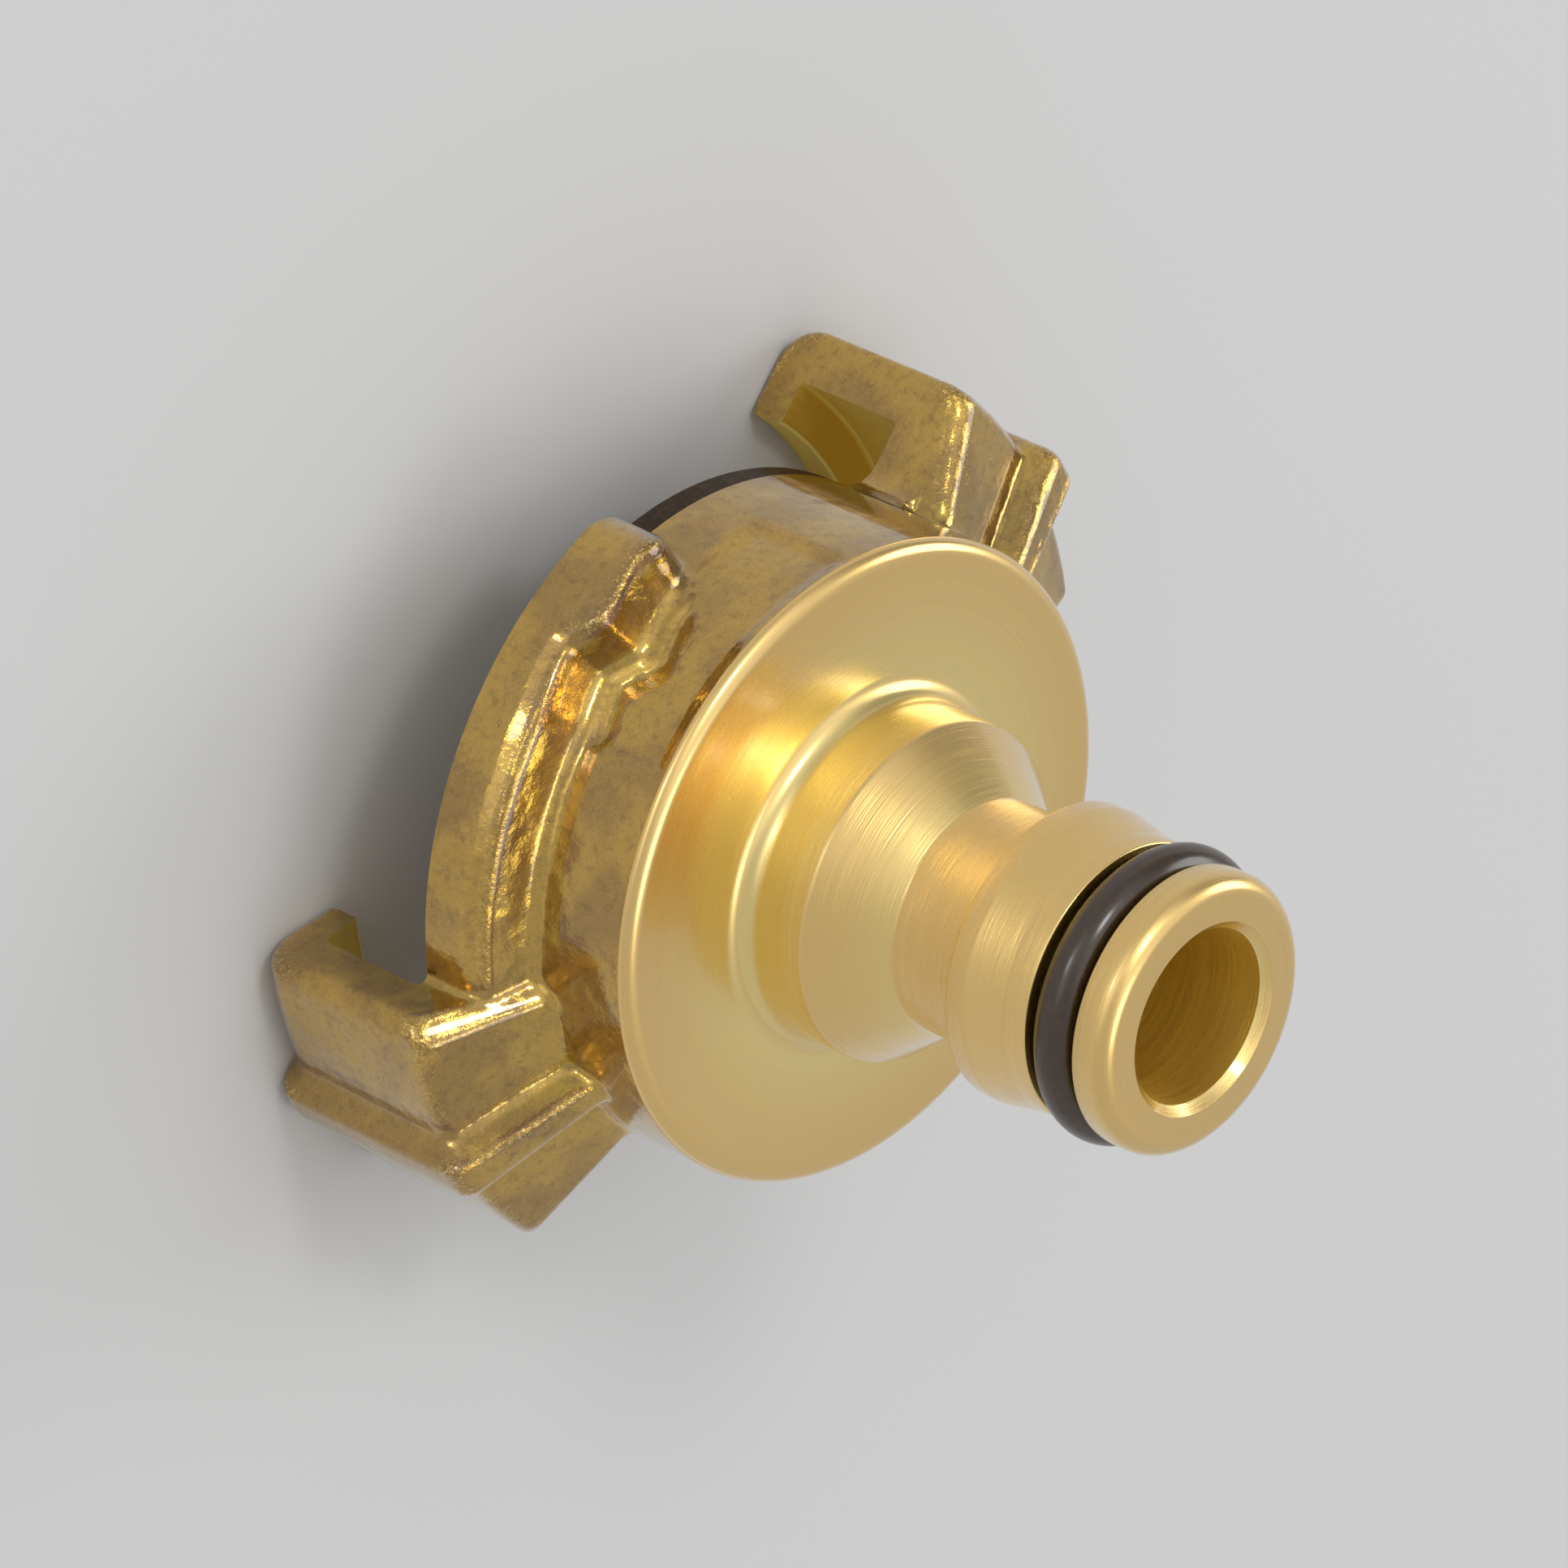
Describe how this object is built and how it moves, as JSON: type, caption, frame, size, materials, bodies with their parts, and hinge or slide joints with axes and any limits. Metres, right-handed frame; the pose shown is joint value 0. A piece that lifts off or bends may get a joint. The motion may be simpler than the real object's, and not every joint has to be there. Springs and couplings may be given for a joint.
{
  "type": "claw coupling",
  "caption": "Brass claw coupling for hoses: bayonet claws and ramp flanges with a form seal at the front, and a plug nose with an O-ring at the back.",
  "frame": {"origin": "on the axis, in the plane of the claws' front faces", "axes": "+Z along the water bore towards the plug nose, +X through the middle of the claws"},
  "size_m": [0.0548, 0.0442, 0.0458],
  "materials": {
    "brass": "satin turned faces, as-forged sides",
    "seal_rubber": "matt, moulded",
    "ring_rubber": "smooth, slightly shiny"
  },
  "bodies": {
    "root": {"coupling_body": "brass", "form_seal": "seal_rubber", "nose_o_ring": "ring_rubber"}
  },
  "joints": []
}
